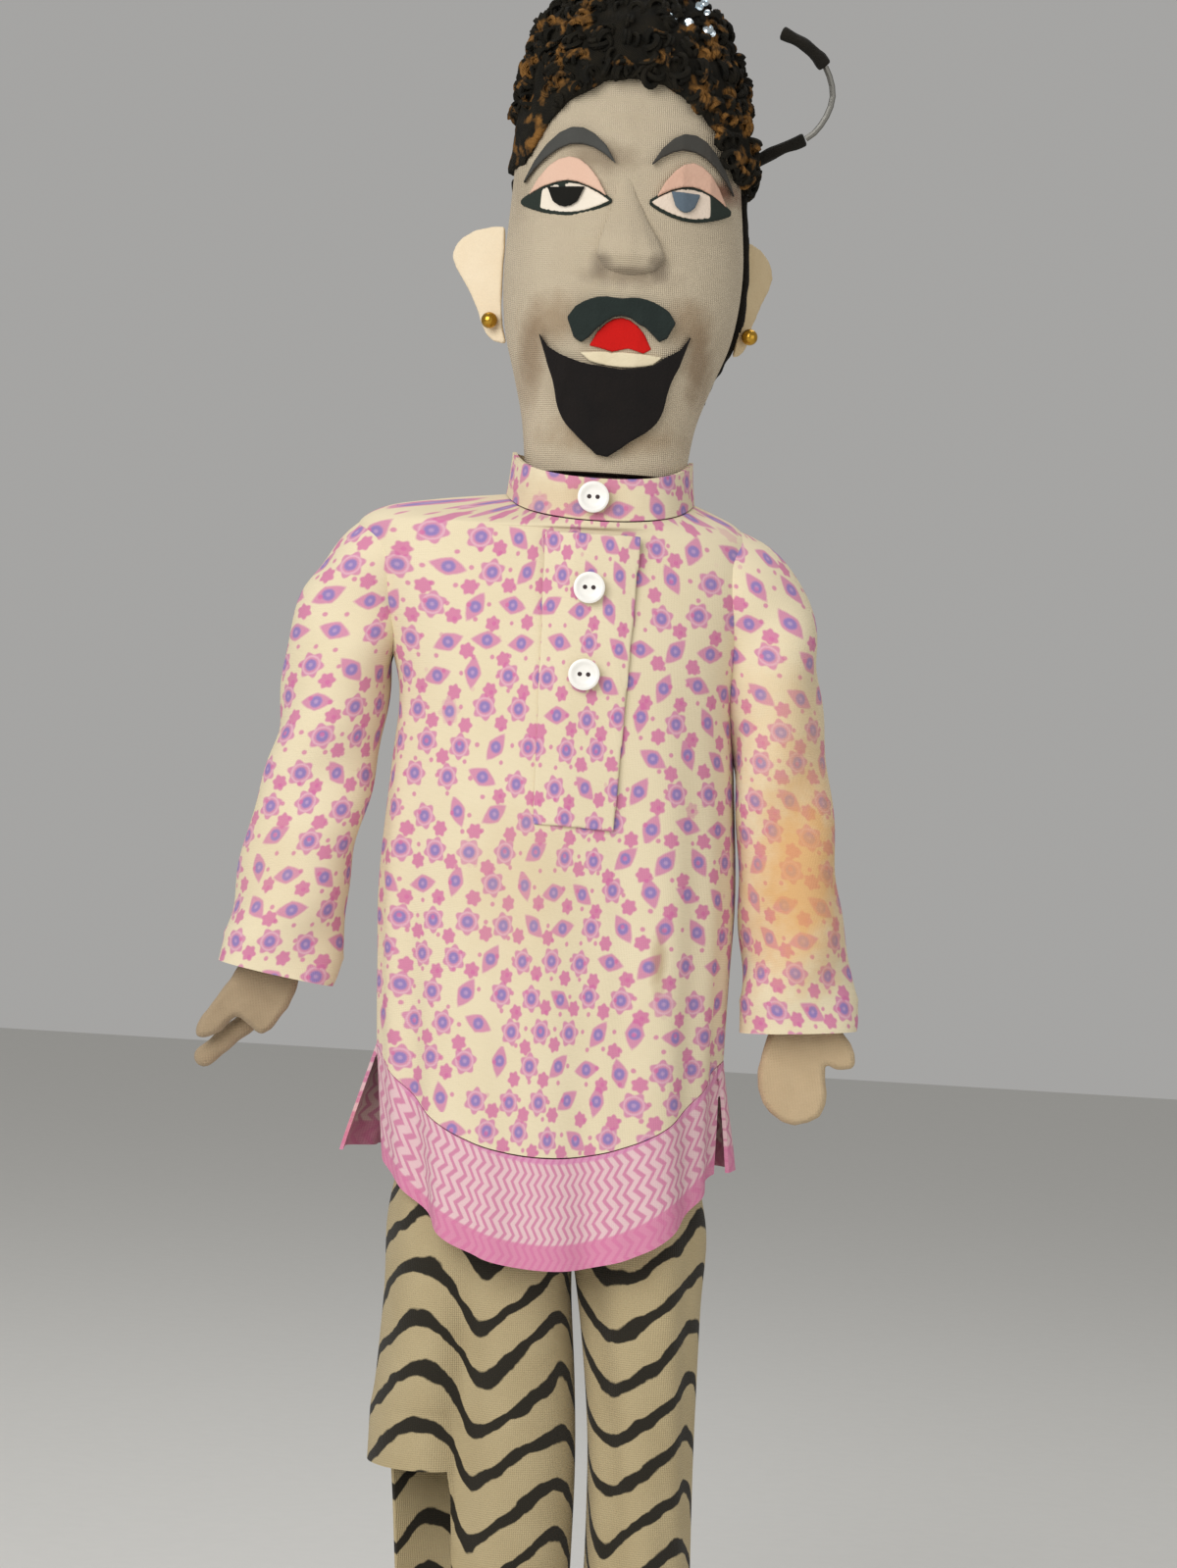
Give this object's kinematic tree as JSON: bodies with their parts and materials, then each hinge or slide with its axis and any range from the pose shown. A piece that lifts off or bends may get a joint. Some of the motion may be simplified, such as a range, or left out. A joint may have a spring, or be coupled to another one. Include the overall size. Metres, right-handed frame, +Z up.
{
  "type": "stuffed cloth puppet",
  "caption": "Hanging stuffed cloth puppet of a bearded man in a printed kurta and wave-striped trousers, with freely swinging cloth-jointed limbs.",
  "frame": {"origin": "hanging point at the crown of the hair", "axes": "+Z up, the face looks along -Y, +X towards the puppet's own left hand"},
  "size_m": [0.2418, 0.0997, 0.6254],
  "materials": {
    "muslin": "plain woven, stained",
    "grey_felt": "matt felt",
    "pink_felt": "matt felt",
    "cream_felt": "matt felt",
    "black_felt": "matt felt",
    "blue_grey_felt": "matt felt",
    "green_black_felt": "fuzzy felt",
    "red_felt": "matt felt",
    "ear_felt": "matt felt",
    "brass": "worn polish",
    "hair_yarn": "curled yarn",
    "dark_cloth": "fuzzy wrap",
    "bare_wire": "dull",
    "body_cloth": "plain woven",
    "kurta_print": "block printed cotton",
    "border_print": "zigzag printed cotton",
    "button_white": "glossy",
    "hand_cloth": "plain woven",
    "trouser_stripe": "wave striped cotton",
    "leg_cloth": "plain woven"
  },
  "bodies": {
    "head": {"head": "muslin", "nose": "muslin", "eye_white_right": "cream_felt", "eye_white_left": "cream_felt", "pupil_right": "black_felt", "pupil_left": "blue_grey_felt", "eyelid_right": "pink_felt", "eyelid_left": "pink_felt", "brow_right": "grey_felt", "brow_left": "grey_felt", "ear_right": "ear_felt", "ear_left": "ear_felt", "ear_stud_right": "brass", "ear_stud_left": "brass", "mouth": "red_felt", "lower_lip": "cream_felt", "moustache": "green_black_felt", "beard": "black_felt", "hair_cap": "hair_yarn", "back_hair": "dark_cloth", "wire_wrap_root": "dark_cloth", "wire_curl": "bare_wire", "wire_wrap_tip": "dark_cloth"},
    "neck_gusset": {"neck_gusset": "body_cloth"},
    "torso": {"torso": "body_cloth", "kurta_body": "kurta_print", "hem_border_front": "border_print", "hem_border_back": "border_print", "collar": "kurta_print", "placket": "kurta_print", "button_collar": "button_white", "button_upper": "button_white", "button_lower": "button_white", "trouser_seat": "trouser_stripe"},
    "upper_arm_right": {"upper_arm_right": "body_cloth", "sleeve_right": "kurta_print"},
    "forearm_right": {"forearm_right": "body_cloth"},
    "hand_right": {"hand_right": "hand_cloth", "finger_right": "hand_cloth"},
    "thigh_right": {"thigh_right": "leg_cloth", "trouser_leg_right": "trouser_stripe"},
    "shin_right": {"shin_right": "leg_cloth"},
    "foot_right": {"foot_right": "hand_cloth"},
    "upper_arm_left": {"upper_arm_left": "body_cloth", "sleeve_left": "kurta_print"},
    "forearm_left": {"forearm_left": "body_cloth"},
    "hand_left": {"hand_left": "hand_cloth"},
    "thigh_left": {"thigh_left": "leg_cloth", "trouser_leg_left": "trouser_stripe"},
    "shin_left": {"shin_left": "leg_cloth"},
    "foot_left": {"foot_left": "hand_cloth"}
  },
  "joints": [
    {"name": "neck_turn", "type": "hinge", "parent": "head", "child": "neck_gusset", "pos_m": [0.002, 0, -0.1816], "axis": [0, 0, 1], "range_deg": [-35, 35]},
    {"name": "neck_nod", "type": "hinge", "parent": "neck_gusset", "child": "torso", "pos_m": [0.001, 0, -0.208], "axis": [1, 0, 0], "range_deg": [-11, 18], "deforming": ["collar", "kurta_body"]},
    {"name": "right_shoulder", "type": "hinge", "parent": "torso", "child": "upper_arm_right", "pos_m": [-0.074, 0, -0.23], "axis": [-1, 0, 0], "range_deg": [-40, 90], "deforming": ["sleeve_right"]},
    {"name": "right_elbow", "type": "hinge", "parent": "upper_arm_right", "child": "forearm_right", "pos_m": [-0.094, 0, -0.301], "axis": [-1, 0, 0], "range_deg": [-10, 90], "deforming": ["sleeve_right"]},
    {"name": "right_wrist", "type": "hinge", "parent": "forearm_right", "child": "hand_right", "pos_m": [-0.107, 0, -0.361], "axis": [-1, 0, 0], "range_deg": [-40, 40], "deforming": ["sleeve_right"]},
    {"name": "right_hip", "type": "hinge", "parent": "torso", "child": "thigh_right", "pos_m": [-0.027, 0, -0.441], "axis": [-1, 0, 0], "range_deg": [-35, 70], "deforming": ["trouser_leg_right", "kurta_body", "hem_border_front", "hem_border_back", "trouser_seat"]},
    {"name": "right_knee", "type": "hinge", "parent": "thigh_right", "child": "shin_right", "pos_m": [-0.018, 0, -0.52], "axis": [1, 0, 0], "range_deg": [-10, 80], "deforming": ["trouser_leg_right"]},
    {"name": "right_ankle", "type": "hinge", "parent": "shin_right", "child": "foot_right", "pos_m": [-0.008, 0, -0.6], "axis": [-1, 0, 0], "range_deg": [-30, 30], "deforming": ["trouser_leg_right"]},
    {"name": "left_shoulder", "type": "hinge", "parent": "torso", "child": "upper_arm_left", "pos_m": [0.058, 0, -0.232], "axis": [-1, 0, 0], "range_deg": [-40, 90], "deforming": ["sleeve_left"]},
    {"name": "left_elbow", "type": "hinge", "parent": "upper_arm_left", "child": "forearm_left", "pos_m": [0.073, 0, -0.304], "axis": [-1, 0, 0], "range_deg": [-10, 90], "deforming": ["sleeve_left"]},
    {"name": "left_wrist", "type": "hinge", "parent": "forearm_left", "child": "hand_left", "pos_m": [0.084, 0, -0.369], "axis": [-1, 0, 0], "range_deg": [-40, 40], "deforming": ["sleeve_left"]},
    {"name": "left_hip", "type": "hinge", "parent": "torso", "child": "thigh_left", "pos_m": [0.029, 0, -0.441], "axis": [-1, 0, 0], "range_deg": [-35, 70], "deforming": ["trouser_leg_left", "kurta_body", "hem_border_front", "hem_border_back", "trouser_seat"]},
    {"name": "left_knee", "type": "hinge", "parent": "thigh_left", "child": "shin_left", "pos_m": [0.036, 0, -0.52], "axis": [1, 0, 0], "range_deg": [-10, 80], "deforming": ["trouser_leg_left"]},
    {"name": "left_ankle", "type": "hinge", "parent": "shin_left", "child": "foot_left", "pos_m": [0.039, 0, -0.6], "axis": [-1, 0, 0], "range_deg": [-30, 30], "deforming": ["trouser_leg_left"]}
  ]
}
